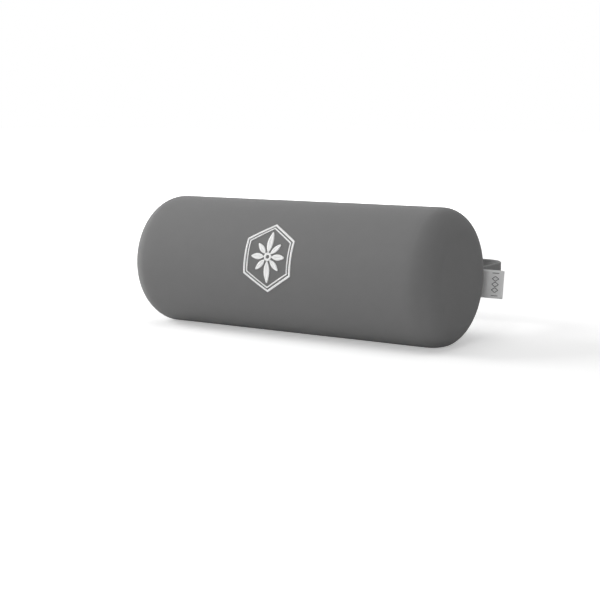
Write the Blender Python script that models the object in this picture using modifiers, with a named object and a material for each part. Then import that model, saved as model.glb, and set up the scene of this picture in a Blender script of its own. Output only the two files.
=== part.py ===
"""Roll-shaped neck pillow with a strap, built as the separate pieces it is sewn and clipped from.

Metres, +X along the roll, +Y to its back, +Z up. The origin is the middle of the flat spot on
which the roll lies, straight below its axis.
"""

import math

import bmesh
import bpy
from mathutils import Matrix, Vector

# Roll: a foam core in a zipped cover
ROLL_DIAMETER = 0.115
ROLL_LENGTH = 0.301
END_ROUNDING = 0.0212
FLAT_WIDTH = 0.0298
COVER_THICKNESS = 0.0016
RING_STEPS = 48
ROUNDING_STEPS = 5

# Air left between pieces that touch
FIT_GAP = 0.0003

# Zip along the back of the cover: angles go round the roll from its back (0) to its top (90)
ZIP_ANGLE = math.radians(28)
CHAIN_LENGTH = 0.190
SLIT_WIDTH = 0.012
SLIT_CORNER = 0.003
SLIT_MARGIN = 0.0015
TAPE_WIDTH = 0.0145
TAPE_THICKNESS = 0.0006
TAPE_TAIL = 0.008
TOOTH_PITCH = 0.003
TOOTH_HEIGHT = 0.0024
TOOTH_NECK = 0.00076
TOOTH_HEAD = 0.0015
TOOTH_ROOT = 0.0018
TOOTH_REACH = 0.0009
TOOTH_BACK = 0.003
STOP_LENGTH = 0.0025
STOP_WIDTH = 0.0028
END_STOP_LENGTH = 0.005
END_STOP_WIDTH = 0.006
END_STOP_PLATE = 0.001

# Slider and its pull
SLIDER_LENGTH = 0.009
SLIDER_WIDTH = 0.0086
SLIDER_PLATE = 0.001
SLIDER_WEDGE_WIDTH = 0.003
SLIDER_WEDGE_LENGTH = 0.0029
SLIDER_PAST_CHAIN = 0.001
BRIDGE_LENGTH = 0.0064
BRIDGE_WIDTH = 0.0022
BRIDGE_BAR = 0.0008
PULL_PIN_DIAMETER = 0.0014
PULL_LENGTH = 0.026
PULL_WIDTH = 0.0066
PULL_THICKNESS = 0.0012

# Strap: elastic webbing in two halves, sewn to the back of the roll and clipped behind
STRAP_WIDTH = 0.024
STRAP_THICKNESS = 0.0015
STRAP_ANGLE = math.radians(-10)
STRAP_ROOT_INSET = 0.0253
LOOP_INSET = 0.0168
LOOP_DEPTH = 0.0724
ROOT_BEND = 0.004
LOOP_CORNER = 0.020
SEWN_TURN_BACK = 0.020
STRAP_TAIL = 0.046
HEM_LENGTH = 0.010
BAND_STEPS = 4
FREE_OUT = (0.003, 0.025)
FREE_PAST_TUBE = (0.0017, 0.0117)

# Folded ribbon tag under the strap's right root
TAG_INSET = 0.0173
TAG_PAST_ROLL = 0.0109
TAG_WIDTH = 0.0239
TAG_LAYER = 0.0004

# Side release buckle, 25 mm size
BUCKLE_BAR_DIAMETER = 0.003
SOCKET_BACK = -0.0225
BUCKLE_MOUTH = 0.005
BUCKLE_WIDTH = 0.032
BUCKLE_WAIST = 0.0286
BUCKLE_THICKNESS = 0.009
BUCKLE_WALL = 0.0019
BUCKLE_EDGE = 0.0006
BUCKLE_CORNER = 0.0025
WAIST_LEAD = 0.0017
MOUTH_SCOOP_DEPTH = 0.0026
MOUTH_SCOOP_WIDTH = 0.018
PANEL_DEPTH = 0.0004
PANEL_WIDTH = 0.0165
PANEL_INSET = 0.003
RIB_COUNT = 3
RIB_PITCH = 0.0019
RIB_WIDTH = 0.0008
RIB_RISE = 0.0004
RAIL_THICKNESS = 0.005
RAIL_ROOM = 0.0005
BAR_ROOM = 0.005
CAVITY_WIDTH = 0.0252
CAVITY_END = -0.019
WINDOW_START = -0.0135
WINDOW_END = -0.0027
TONGUE_BLOCK = 0.0087
GUIDE_WIDTH = 0.0044
GUIDE_TIP = -0.016
ARM_TIP = -0.0122
HOOK_REACH = 0.0147
HOOK_ROUNDING = 0.0028

# Emblem embroidered on the front: two hexagon outlines round a rosette
EMBLEM_ANGLE = math.radians(165.3)
EMBLEM_WIDTH = 0.047
EMBLEM_HEIGHT = 0.060
EMBLEM_THICKNESS = 0.0008
FRAME_LINE = 0.0019
INNER_FRAME_LINE = 0.0011
FRAME_SPACING = 0.0012
PETAL_LENGTHS = (0.0166, 0.0158, 0.0222, 0.0158)
PETAL_WIDTHS = (0.0052, 0.0046, 0.0058, 0.0046)
PETAL_STATIONS = (0.12, 0.35, 0.65)
ROSETTE_HEART = 0.0040
ROSETTE_EYE = 0.0016
PATCH_SLICE = 0.007

# Worked out from the sizes above
ROLL_RADIUS = ROLL_DIAMETER / 2
AXIS_HEIGHT = math.sqrt(ROLL_RADIUS**2 - (FLAT_WIDTH / 2) ** 2)
TUBE_HALF = ROLL_LENGTH / 2 - END_ROUNDING
COVER_INSIDE = ROLL_RADIUS * math.cos(math.pi / RING_STEPS) - COVER_THICKNESS
ZIP_RADIUS = COVER_INSIDE - FIT_GAP - TAPE_THICKNESS / 2
CHAIN_HALF = CHAIN_LENGTH / 2
SLIDER_X = -CHAIN_HALF - SLIDER_PAST_CHAIN
SLIT_HALF = CHAIN_HALF + SLIDER_PAST_CHAIN + SLIDER_LENGTH / 2 + FIT_GAP + STOP_LENGTH + SLIT_MARGIN
TAPE_HALF = SLIT_HALF + TAPE_TAIL
PLATE_INSIDE = TOOTH_HEIGHT / 2 + FIT_GAP
SLIDER_TOP = PLATE_INSIDE + SLIDER_PLATE
PULL_AXIS = SLIDER_TOP + FIT_GAP + PULL_PIN_DIAMETER / 2
STRAP_ROOT_START = TUBE_HALF - STRAP_ROOT_INSET
LOOP_SIDE = ROLL_LENGTH / 2 - LOOP_INSET
FREE_ALONG = (TUBE_HALF + FREE_PAST_TUBE[0], TUBE_HALF + FREE_PAST_TUBE[1])
TAG_START = TUBE_HALF - TAG_INSET
TAG_END = ROLL_LENGTH / 2 + TAG_PAST_ROLL
STRAP_BACK = ROLL_RADIUS * math.cos(STRAP_ANGLE)
STRAP_HEIGHT = AXIS_HEIGHT + ROLL_RADIUS * math.sin(STRAP_ANGLE)
BAR_WRAP = BUCKLE_BAR_DIAMETER / 2 + FIT_GAP + STRAP_THICKNESS / 2
LAYER_STEP = STRAP_THICKNESS + FIT_GAP
RAIL_INSIDE = STRAP_WIDTH / 2 + RAIL_ROOM
BUCKLE_PLACE = Vector((0, STRAP_BACK + LOOP_DEPTH + BAR_WRAP, STRAP_HEIGHT))
SOCKET_BAR = SOCKET_BACK - BAR_ROOM - BUCKLE_BAR_DIAMETER / 2
TONGUE_START = BUCKLE_MOUTH + FIT_GAP
MIDDLE_BAR = TONGUE_START + TONGUE_BLOCK + BAR_ROOM
OUTER_BAR = MIDDLE_BAR + 2 * BAR_WRAP


def clear_scene():
    for item in list(bpy.data.objects):
        bpy.data.objects.remove(item, do_unlink=True)


def add_collection(name):
    collection = bpy.data.collections.new(name)
    bpy.context.scene.collection.children.link(collection)
    return collection


def make_material(name, colour, roughness, metallic=0.0):
    material = bpy.data.materials.new(name)
    material.use_nodes = True
    shader = material.node_tree.nodes["Principled BSDF"]
    shader.inputs["Base Color"].default_value = (*colour, 1.0)
    shader.inputs["Roughness"].default_value = roughness
    shader.inputs["Metallic"].default_value = metallic
    return material


def add_object(name, bm, collection):
    """Turns a bmesh into a mesh object with outward faces."""
    bmesh.ops.recalc_face_normals(bm, faces=bm.faces)
    mesh = bpy.data.meshes.new(name)
    bm.to_mesh(mesh)
    bm.free()
    item = bpy.data.objects.new(name, mesh)
    collection.objects.link(item)
    return item


def add_part(name, bm, material):
    part = add_object(name, bm, PARTS)
    part.data.materials.append(material)
    part.data.shade_smooth()
    part.data.set_sharp_from_angle(angle=math.radians(35))
    return part


def add_boolean(part, tool, operation="DIFFERENCE"):
    """Leaves a modifier on the part; the tool isn't rendered."""
    tool.hide_render = True
    tool.display_type = "WIRE"
    modifier = part.modifiers.new(tool.name, "BOOLEAN")
    modifier.operation = operation
    modifier.object = tool


def evaluated(item):
    """The object's mesh with its modifiers applied, as a welded bmesh."""
    graph = bpy.context.evaluated_depsgraph_get()
    mesh = bpy.data.meshes.new_from_object(item.evaluated_get(graph))
    bm = bmesh.new()
    bm.from_mesh(mesh)
    bpy.data.meshes.remove(mesh)
    bmesh.ops.remove_doubles(bm, verts=bm.verts, dist=1e-6)
    return bm


def fused(pieces):
    """One solid from several that overlap."""
    items = [add_object(f"piece_{i}", bm, CUTTERS) for i, bm in enumerate(pieces)]
    for other in items[1:]:
        add_boolean(items[0], other, "UNION")
    bm = evaluated(items[0])
    for item in items:
        bpy.data.objects.remove(item)
    return bm


def box(low, high):
    bm = bmesh.new()
    low, high = Vector(low), Vector(high)
    size = Matrix.Diagonal(high - low).to_4x4()
    bmesh.ops.create_cube(bm, size=1.0, matrix=Matrix.Translation((low + high) / 2) @ size)
    return bm


def crossbar(centre, diameter, length):
    """A round bar along Y."""
    bm = bmesh.new()
    turn = Matrix.Rotation(math.pi / 2, 4, "X")
    bmesh.ops.create_cone(
        bm,
        cap_ends=True,
        segments=12,
        radius1=diameter / 2,
        radius2=diameter / 2,
        depth=length,
        matrix=Matrix.Translation(centre) @ turn,
    )
    return bm


def plate(outlines, low, high, edge=0.0):
    """A flat plate between two heights; an outline inside another is a hole in it."""
    curve = bpy.data.curves.new("outline", "CURVE")
    curve.dimensions = "2D"
    curve.fill_mode = "BOTH"
    curve.extrude = (high - low) / 2 - edge
    curve.bevel_depth = edge
    curve.bevel_resolution = 0
    curve.offset = -edge
    for outline in outlines:
        spline = curve.splines.new("POLY")
        spline.points.add(len(outline) - 1)
        spline.use_cyclic_u = True
        for point, (x, y) in zip(spline.points, outline):
            point.co = (x, y, 0, 1)
    item = bpy.data.objects.new("outline", curve)
    CUTTERS.objects.link(item)
    bm = evaluated(item)
    bpy.data.objects.remove(item)
    bmesh.ops.translate(bm, vec=(0, 0, (low + high) / 2), verts=bm.verts)
    return bm


def mirrored(points):
    """A closed outline from its half at positive Y."""
    return points + [(x, -y) for x, y in reversed(points) if y > 0]


def arc(centre, radius, start, end, steps):
    angles = [start + (end - start) * step / steps for step in range(steps + 1)]
    return [(centre[0] + radius * math.cos(a), centre[1] + radius * math.sin(a)) for a in angles]


def on_roll(x, angle, radius):
    """A point round the roll's axis: angle 0 is the back, a quarter turn the top."""
    return Vector((x, radius * math.cos(angle), AXIS_HEIGHT + radius * math.sin(angle)))


def place_on_roll(part, x, angle, radius):
    """Stands a part on the roll, with its own +Z straight out from the axis."""
    part.location = on_roll(x, angle, radius)
    part.rotation_euler = (angle - math.pi / 2, 0, 0)


def wrap(bm, angle, radius):
    """Bends a flat patch in XY onto the roll, round the line at this angle."""
    reach = max(abs(vert.co.y) for vert in bm.verts)
    slices = math.ceil(reach / PATCH_SLICE)
    for number in range(-slices, slices):
        bmesh.ops.bisect_plane(
            bm,
            geom=bm.verts[:] + bm.edges[:] + bm.faces[:],
            dist=1e-7,
            plane_co=(0, (number + 0.5) * PATCH_SLICE, 0),
            plane_no=(0, 1, 0),
        )
    for vert in bm.verts:
        x, across, out = vert.co
        vert.co = on_roll(x, angle - across / radius, radius + out)
    return bm


def roll_profile(inset):
    """Half of the roll's outline as (x, radius), from where the rounding starts to the end's middle."""
    centre = (TUBE_HALF, ROLL_RADIUS - END_ROUNDING)
    rounding = arc(centre, END_ROUNDING - inset, math.pi / 2, 0, ROUNDING_STEPS)
    return rounding + [(rounding[-1][0], 0)]


def turned(profile, inset=0.0):
    """A profile turned about the roll's axis, with the flat spot pressed into its underside."""
    bm = bmesh.new()
    verts = [bm.verts.new((x, 0, radius)) for x, radius in profile]
    edges = [bm.edges.new(pair) for pair in zip(verts, verts[1:])]
    bmesh.ops.spin(
        bm,
        geom=verts + edges,
        cent=(0, 0, 0),
        axis=(1, 0, 0),
        dvec=(0, 0, 0),
        angle=math.tau,
        steps=RING_STEPS,
        use_merge=True,
    )
    bmesh.ops.remove_doubles(bm, verts=bm.verts, dist=1e-6)
    for vert in bm.verts:
        vert.co.z = max(vert.co.z + AXIS_HEIGHT, inset)
    bmesh.ops.connect_verts_nonplanar(bm, angle_limit=math.radians(0.1), faces=bm.faces)
    return bm


def thicken(part):
    shell = part.modifiers.new("wall", "SOLIDIFY")
    shell.thickness = COVER_THICKNESS
    shell.offset = -1
    shell.use_even_offset = True


def make_core(material):
    """The foam filling, with a flat along the zip so that the slider runs free."""
    inset = COVER_THICKNESS + FIT_GAP
    right = roll_profile(inset)
    left = [(-x, radius) for x, radius in reversed(right)]
    core = add_part("foam_core", turned(left + right, inset), material)
    tape_edge = (ZIP_RADIUS - TAPE_THICKNESS / 2) * math.cos(TAPE_WIDTH / ZIP_RADIUS)
    floor = min(ZIP_RADIUS - SLIDER_TOP, tape_edge) - FIT_GAP
    half_length = TAPE_HALF + TAPE_TAIL / 4
    cut = box((-half_length, -ROLL_RADIUS / 2, 0), (half_length, ROLL_RADIUS / 2, ROLL_RADIUS - floor))
    cutter = add_object("zip_flat_cutter", cut, CUTTERS)
    place_on_roll(cutter, 0, ZIP_ANGLE, floor)
    add_boolean(core, cutter)


def make_cover(material):
    """The cover: a tube of cloth with the zip's slit, and a cupped panel sewn to each end."""
    reach = TUBE_HALF - FIT_GAP / 2
    sleeve = add_part("cover_sleeve", turned([(-reach, ROLL_RADIUS), (reach, ROLL_RADIUS)]), material)
    thicken(sleeve)
    corner = (SLIT_HALF - SLIT_CORNER, SLIT_WIDTH / 2 - SLIT_CORNER)
    quarter = arc(corner, SLIT_CORNER, 0, math.pi / 2, 3)
    upper = quarter + [(-x, y) for x, y in reversed(quarter)]
    outline = upper + [(-x, -y) for x, y in upper]
    slit = plate([outline], -3 * COVER_THICKNESS, 3 * COVER_THICKNESS)
    cutter = add_object("zip_slit_cutter", slit, CUTTERS)
    place_on_roll(cutter, 0, ZIP_ANGLE, ROLL_RADIUS)
    add_boolean(sleeve, cutter)
    for name, side in (("cover_end_right", 1), ("cover_end_left", -1)):
        profile = [(side * (x + FIT_GAP / 2), radius) for x, radius in roll_profile(0)]
        thicken(add_part(name, turned(profile), material))


def tooth_outline(x, side):
    half = [
        (TOOTH_ROOT / 2, TOOTH_BACK),
        (TOOTH_NECK / 2, TOOTH_REACH + FIT_GAP),
        (TOOTH_HEAD / 2, -TOOTH_REACH),
    ]
    left = [(x - along, side * across) for along, across in half]
    right = [(x + along, side * across) for along, across in reversed(half)]
    return left + right


def make_zip_half(name, side, material):
    """One tape with its row of moulded teeth; the rows interlock half a pitch apart."""
    inner = TOOTH_REACH + FIT_GAP
    parted = SLIDER_WEDGE_WIDTH / 2 + FIT_GAP
    tape_edge = [
        (-TAPE_HALF, TAPE_WIDTH),
        (TAPE_HALF, TAPE_WIDTH),
        (TAPE_HALF, inner),
        (SLIDER_X + SLIDER_PAST_CHAIN, inner),
        (SLIDER_X - SLIDER_LENGTH / 2 + SLIDER_WEDGE_LENGTH, parted),
        (-TAPE_HALF, parted),
    ]
    tape = plate([[(x, side * y) for x, y in tape_edge]], -TAPE_THICKNESS / 2, TAPE_THICKNESS / 2)
    first = -CHAIN_HALF + TOOTH_PITCH / 2 + (TOOTH_PITCH / 4) * (1 + side)
    count = int(CHAIN_LENGTH / TOOTH_PITCH) - 1
    outlines = [tooth_outline(first + number * TOOTH_PITCH, side) for number in range(count)]
    stop_end = SLIDER_X - SLIDER_LENGTH / 2 - FIT_GAP
    stop_inner = parted - FIT_GAP
    outlines.append(
        [
            (stop_end - STOP_LENGTH, side * stop_inner),
            (stop_end, side * stop_inner),
            (stop_end, side * (stop_inner + STOP_WIDTH)),
            (stop_end - STOP_LENGTH, side * (stop_inner + STOP_WIDTH)),
        ]
    )
    teeth = plate(outlines, -TOOTH_HEIGHT / 2, TOOTH_HEIGHT / 2)
    add_part(name, wrap(fused([tape, teeth]), ZIP_ANGLE, ZIP_RADIUS), material)


def make_end_stop(material):
    """The block clamped over both tapes at the far end of the chain, H-shaped across them."""
    half = END_STOP_WIDTH / 2
    web = TOOTH_REACH
    under = TAPE_THICKNESS / 2 + FIT_GAP
    top = under + END_STOP_PLATE
    quarter = [(half, top), (half, under), (web, under)]
    right = quarter + [(across, -out) for across, out in reversed(quarter)]
    outline = right + [(-across, -out) for across, out in right]
    start = CHAIN_HALF + 2 * FIT_GAP
    bm = plate([outline], start, start + END_STOP_LENGTH)
    along_x = Matrix(((0, 0, 1), (1, 0, 0), (0, 1, 0)))
    bmesh.ops.transform(bm, matrix=along_x.to_4x4(), verts=bm.verts)
    stop = add_part("zip_end_stop", bm, material)
    place_on_roll(stop, 0, ZIP_ANGLE, ZIP_RADIUS)


def slider_outline():
    half_length, half_width = SLIDER_LENGTH / 2, SLIDER_WIDTH / 2
    side = [
        (-half_length, 0.74 * half_width),
        (-0.75 * half_length, half_width),
        (0.71 * half_length, 0.93 * half_width),
        (half_length, 0.65 * half_width),
    ]
    return mirrored(side)


def make_slider(material):
    """Two plates joined by the wedge that parts the teeth, side flanges, and the bridge for the pull."""
    outline = slider_outline()
    pieces = [plate([outline], PLATE_INSIDE, SLIDER_TOP), plate([outline], -SLIDER_TOP, -PLATE_INSIDE)]
    flange_inner = TOOTH_BACK + FIT_GAP
    flange_outer = 0.92 * SLIDER_WIDTH / 2
    flange_low = TAPE_THICKNESS / 2 + FIT_GAP
    overlap = SLIDER_PLATE / 2
    reach = 0.35 * SLIDER_LENGTH
    for side in (1, -1):
        for out in (1, -1):
            corners = [side * flange_inner, side * flange_outer]
            heights = [out * flange_low, out * (PLATE_INSIDE + overlap)]
            low = (-reach, min(corners), min(heights))
            pieces.append(box(low, (reach, max(corners), max(heights))))
    front = -SLIDER_LENGTH / 2 + FIT_GAP
    point = front + SLIDER_WEDGE_LENGTH
    wedge = mirrored([(front, SLIDER_WEDGE_WIDTH / 2), (point, SLIDER_WEDGE_WIDTH / 10)])
    pieces.append(plate([wedge], -PLATE_INSIDE - overlap, PLATE_INSIDE + overlap))
    pieces.append(make_bridge())
    slider = add_part("zip_slider", fused(pieces), material)
    place_on_roll(slider, SLIDER_X, ZIP_ANGLE, ZIP_RADIUS)


def make_bridge():
    """The arch over the slider's top plate, with a window for the pull's pin."""
    half = BRIDGE_LENGTH / 2
    window = SLIDER_TOP + PULL_PIN_DIAMETER + 2 * FIT_GAP
    base = SLIDER_TOP - SLIDER_PLATE / 4
    shoulder = window - BRIDGE_BAR / 4
    outline = [
        (-half, base),
        (-half, shoulder),
        (-half + BRIDGE_BAR, window + BRIDGE_BAR),
        (half - BRIDGE_BAR, window + BRIDGE_BAR),
        (half, shoulder),
        (half, base),
        (half - BRIDGE_BAR, base),
        (half - BRIDGE_BAR, window),
        (-half + BRIDGE_BAR, window),
        (-half + BRIDGE_BAR, base),
    ]
    bm = plate([outline], -BRIDGE_WIDTH / 2, BRIDGE_WIDTH / 2)
    bmesh.ops.rotate(bm, matrix=Matrix.Rotation(math.pi / 2, 3, "X"), verts=bm.verts)
    return bm


def make_pull(material):
    """The pull tab, with its pin through the slider's bridge; its origin is on the pin's axis."""
    pin = PULL_PIN_DIAMETER / 2
    arm_inner = BRIDGE_WIDTH / 2 + FIT_GAP
    arm_outer = 0.41 * PULL_WIDTH
    corner = math.hypot(BRIDGE_LENGTH / 2, pin + FIT_GAP + BRIDGE_BAR)
    tab_start = corner + 2 * FIT_GAP
    half = PULL_WIDTH / 2
    outline = [
        (tab_start, 0),
        (tab_start, arm_inner),
        (-pin, arm_inner),
        (-pin, arm_outer),
        (tab_start, arm_outer),
        (0.3 * PULL_LENGTH, 0.88 * half),
        (0.86 * PULL_LENGTH, half),
        (0.96 * PULL_LENGTH, 0.62 * half),
        (PULL_LENGTH, 0),
    ]
    hole = mirrored([(0.62 * PULL_LENGTH, 0.3 * half), (0.84 * PULL_LENGTH, 0.4 * half)])
    tab = plate([mirrored(outline), hole], -PULL_THICKNESS / 2, PULL_THICKNESS / 2)
    rod = crossbar((0, 0, 0), PULL_PIN_DIAMETER, 2 * arm_inner + FIT_GAP)
    pull = add_part("zip_pull", fused([tab, rod]), material)
    place_on_roll(pull, SLIDER_X, ZIP_ANGLE, ZIP_RADIUS + PULL_AXIS)


def ease(value, span):
    """0 before the span, 1 after it, and a smooth step between."""
    share = min(max((value - span[0]) / (span[1] - span[0]), 0), 1)
    return share * share * (3 - 2 * share)


def behind_roll(x, out, across):
    """A band's point: curved to the cover at its sewn root, and upright once it is clear of the roll."""
    free = max(ease(out, FREE_OUT), ease(abs(x), FREE_ALONG))
    lying = on_roll(x, STRAP_ANGLE + across / ROLL_RADIUS, ROLL_RADIUS)
    upright = Vector((x, STRAP_BACK, STRAP_HEIGHT + across))
    return lying.lerp(upright, free) + Vector((0, out, 0))


def rounded_route(corners):
    """Points of a path with arcs at its corners; each corner is (x, out, radius)."""
    points = [Vector(corners[0][:2])]
    for before, corner, after in zip(corners, corners[1:], corners[2:]):
        here = Vector(corner[:2])
        into = (here - Vector(before[:2])).normalized()
        away = (Vector(after[:2]) - here).normalized()
        turn = math.atan2(into.x * away.y - into.y * away.x, into.dot(away))
        if corner[2] == 0:
            points.append(here)
            continue
        start = here - into * corner[2] * math.tan(abs(turn) / 2)
        spoke = Vector((into.y, -into.x)) * math.copysign(corner[2], turn)
        steps = max(2, round(abs(turn) / math.radians(22.5)))
        for step in range(steps + 1):
            turned_spoke = Matrix.Rotation(turn * step / steps, 2) @ spoke
            points.append(start - spoke + turned_spoke)
    return points + [Vector(corners[-1][:2])]


def band(route, width, thickness):
    """A ribbon lofted along a route in the plane of x and distance from the roll."""
    bm = bmesh.new()
    rings = []
    places = [width * (step / BAND_STEPS - 0.5) for step in range(BAND_STEPS + 1)]
    for number, here in enumerate(route):
        before = route[max(number - 1, 0)]
        after = route[min(number + 1, len(route) - 1)]
        into = (here - before).normalized() if number else (after - here).normalized()
        away = (after - here).normalized() if here != after else into
        along = (into + away).normalized()
        normal = Vector((-along.y, along.x)) / along.dot(into) * thickness / 2
        upper = [behind_roll(*(here + normal), across) for across in places]
        lower = [behind_roll(*(here - normal), across) for across in reversed(places)]
        rings.append([bm.verts.new(point) for point in upper + lower])
    count = len(rings[0])
    for ring, following in zip(rings, rings[1:]):
        for k in range(count):
            bm.faces.new((ring[k], ring[(k + 1) % count], following[(k + 1) % count], following[k]))
    for ring in (rings[0], rings[-1]):
        for k in range(BAND_STEPS):
            bm.faces.new((ring[k], ring[k + 1], ring[count - 2 - k], ring[count - 1 - k]))
    return bm


def strap_root(lift):
    """The route's corners from the sewn root to the start of the run behind the roll, on the right."""
    low = FIT_GAP + STRAP_THICKNESS / 2
    rise = (TAG_START - STRAP_ROOT_START) / 2
    straight = (LOOP_DEPTH - LOOP_CORNER - lift) / 4
    route = [(STRAP_ROOT_START, low, 0)]
    if lift:
        route.append((STRAP_ROOT_START + rise, low, 0))
        route.append((TAG_START - FIT_GAP, low + lift, 0))
    route.append((LOOP_SIDE, low + lift, ROOT_BEND))
    route += [(LOOP_SIDE, low + lift + ROOT_BEND + number * straight, 0) for number in (1, 2)]
    return route + [(LOOP_SIDE, LOOP_DEPTH, LOOP_CORNER)]


def make_left_strap(material):
    """Sewn to the left of the roll, and turned back round the socket's bar."""
    corners = [(-x, out, radius) for x, out, radius in strap_root(0)]
    inner = SOCKET_BAR + BAR_WRAP
    outer = SOCKET_BAR - BAR_WRAP
    over = LOOP_DEPTH + 2 * BAR_WRAP
    layer = LOOP_DEPTH + LAYER_STEP
    corners += [
        (inner, LOOP_DEPTH, 0.94 * BAR_WRAP),
        (inner, over, 0.94 * BAR_WRAP),
        (outer, over, STRAP_THICKNESS),
        (outer - 2 * BAR_WRAP, layer, STRAP_THICKNESS),
        (outer - 2 * BAR_WRAP - SEWN_TURN_BACK, layer, 0),
    ]
    add_part("strap_left", band(rounded_route(corners), STRAP_WIDTH, STRAP_THICKNESS), material)


def make_right_strap(material):
    """Sewn over the tag, threaded round the tongue's two bars, and ended in a hemmed tail."""
    corners = strap_root(2 * TAG_LAYER + 2 * FIT_GAP)
    inner = MIDDLE_BAR - BAR_WRAP
    between = MIDDLE_BAR + BAR_WRAP
    over = LOOP_DEPTH + 2 * BAR_WRAP
    layer = LOOP_DEPTH + LAYER_STEP
    tail = between + STRAP_TAIL
    squeeze = 0.48 * (over - layer)
    corners += [
        (inner, LOOP_DEPTH, 0.94 * BAR_WRAP),
        (inner, over, 0.94 * BAR_WRAP),
        (between, over, squeeze),
        (between, layer, squeeze),
        (tail, layer, 0.47 * LAYER_STEP),
        (tail, layer + LAYER_STEP, 0.47 * LAYER_STEP),
        (tail - HEM_LENGTH, layer + LAYER_STEP, 0),
    ]
    add_part("strap_right", band(rounded_route(corners), STRAP_WIDTH, STRAP_THICKNESS), material)


def make_tag(material):
    """A ribbon folded at its outer end, both ends caught under the strap."""
    low = FIT_GAP + TAG_LAYER / 2
    high = low + TAG_LAYER + FIT_GAP
    fold = 0.47 * (high - low)
    bends = [FREE_ALONG[0], (FREE_ALONG[0] + FREE_ALONG[1]) / 2, FREE_ALONG[1]]
    corners = [(TAG_START, low, 0)] + [(x, low, 0) for x in bends]
    corners += [(TAG_END, low, fold), (TAG_END, high, fold)]
    corners += [(x, high, 0) for x in reversed(bends)] + [(TAG_START, high, 0)]
    add_part("side_tag", band(rounded_route(corners), TAG_WIDTH, TAG_LAYER), material)


def place_buckle(part):
    """Stands a buckle half behind the roll, with its own +Z away from the roll."""
    part.location = BUCKLE_PLACE
    part.rotation_euler = (-math.pi / 2, 0, 0)


def rails(root, tip, low, high):
    """The two side rails that carry a buckle half's bars, each with a rounded outer corner."""
    outer = BUCKLE_WIDTH / 2
    way = math.copysign(1, tip - root)
    centre = (tip - way * BUCKLE_CORNER, outer - BUCKLE_CORNER)
    corner = arc(centre, BUCKLE_CORNER, 0 if way > 0 else math.pi, math.pi / 2, 4)
    outline = [(root, RAIL_INSIDE), (tip, RAIL_INSIDE)] + corner + [(root, outer)]
    mirror = [(x, -y) for x, y in outline]
    return [plate([side], low, high, BUCKLE_EDGE) for side in (outline, mirror)]


def sagging(start, end, depth, steps):
    """A curve between two points, dipping by the depth on the right of its way in its middle."""
    way = Vector(end) - Vector(start)
    side = Vector((way.y, -way.x)).normalized()
    shares = [step / steps for step in range(steps + 1)]
    return [tuple(Vector(start) + way * t + side * depth * 4 * t * (1 - t)) for t in shares]


def socket_outline():
    """The housing seen from behind the roll: a waist where fingers press the arms, a scooped mouth."""
    half, corner = BUCKLE_WIDTH / 2, BUCKLE_CORNER
    start, end = WINDOW_START - WAIST_LEAD, WINDOW_END + WAIST_LEAD
    scoop = MOUTH_SCOOP_WIDTH / 2
    outline = arc((SOCKET_BACK + corner, half - corner), corner, math.pi, math.pi / 2, 4)
    outline += sagging((start, half), (end, half), half - BUCKLE_WAIST / 2, 8)
    outline += arc((BUCKLE_MOUTH - corner / 2, half - corner / 2), corner / 2, math.pi / 2, 0, 3)
    outline += sagging((BUCKLE_MOUTH, scoop), (BUCKLE_MOUTH, -scoop), MOUTH_SCOOP_DEPTH, 8)[:5]
    return mirrored(outline)


def rounded_plate(start, end, width, corners, low, high, edge=0.0):
    """A plate between two places along the strap, with a corner radius at each end."""
    first, last = corners
    outline = arc((start + first, width / 2 - first), first, math.pi, math.pi / 2, 4)
    outline += arc((end - last, width / 2 - last), last, math.pi / 2, 0, 4)
    return plate([mirrored(outline)], low, high, edge)


def socket_cutters():
    """What is hollowed out of the housing: the cavity, the windows and the shallow panel on its face."""
    thick = BUCKLE_THICKNESS / 2
    room = thick - BUCKLE_WALL
    cavity = box((CAVITY_END, -CAVITY_WIDTH / 2, -room), (2 * BUCKLE_MOUTH, CAVITY_WIDTH / 2, room))
    windows = box((WINDOW_START, -BUCKLE_WIDTH, -room), (WINDOW_END, BUCKLE_WIDTH, room))
    start = SOCKET_BACK + PANEL_INSET
    end = BUCKLE_MOUTH - MOUTH_SCOOP_DEPTH - PANEL_INSET
    corners = (BUCKLE_CORNER, BUCKLE_CORNER)
    panel = rounded_plate(start, end, PANEL_WIDTH, corners, thick - PANEL_DEPTH, 2 * thick)
    return [cavity, windows, panel]


def make_socket(material):
    """The hollow half: a waisted housing with a window each side, and the bar for the strap."""
    thick = BUCKLE_THICKNESS / 2
    end = SOCKET_BAR - BUCKLE_BAR_DIAMETER / 2
    overlap = SOCKET_BACK + BUCKLE_WALL
    pieces = [plate([socket_outline()], -thick, thick, BUCKLE_EDGE)]
    pieces += rails(overlap, end, -RAIL_THICKNESS / 2, RAIL_THICKNESS / 2)
    pieces.append(crossbar((SOCKET_BAR, 0, 0), BUCKLE_BAR_DIAMETER, 2 * RAIL_INSIDE + BUCKLE_WALL))
    socket = add_part("buckle_socket", fused(pieces), material)
    place_buckle(socket)
    for number, bm in enumerate(socket_cutters()):
        cutter = add_object(f"socket_cutter_{number}", bm, CUTTERS)
        place_buckle(cutter)
        add_boolean(socket, cutter)


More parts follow.
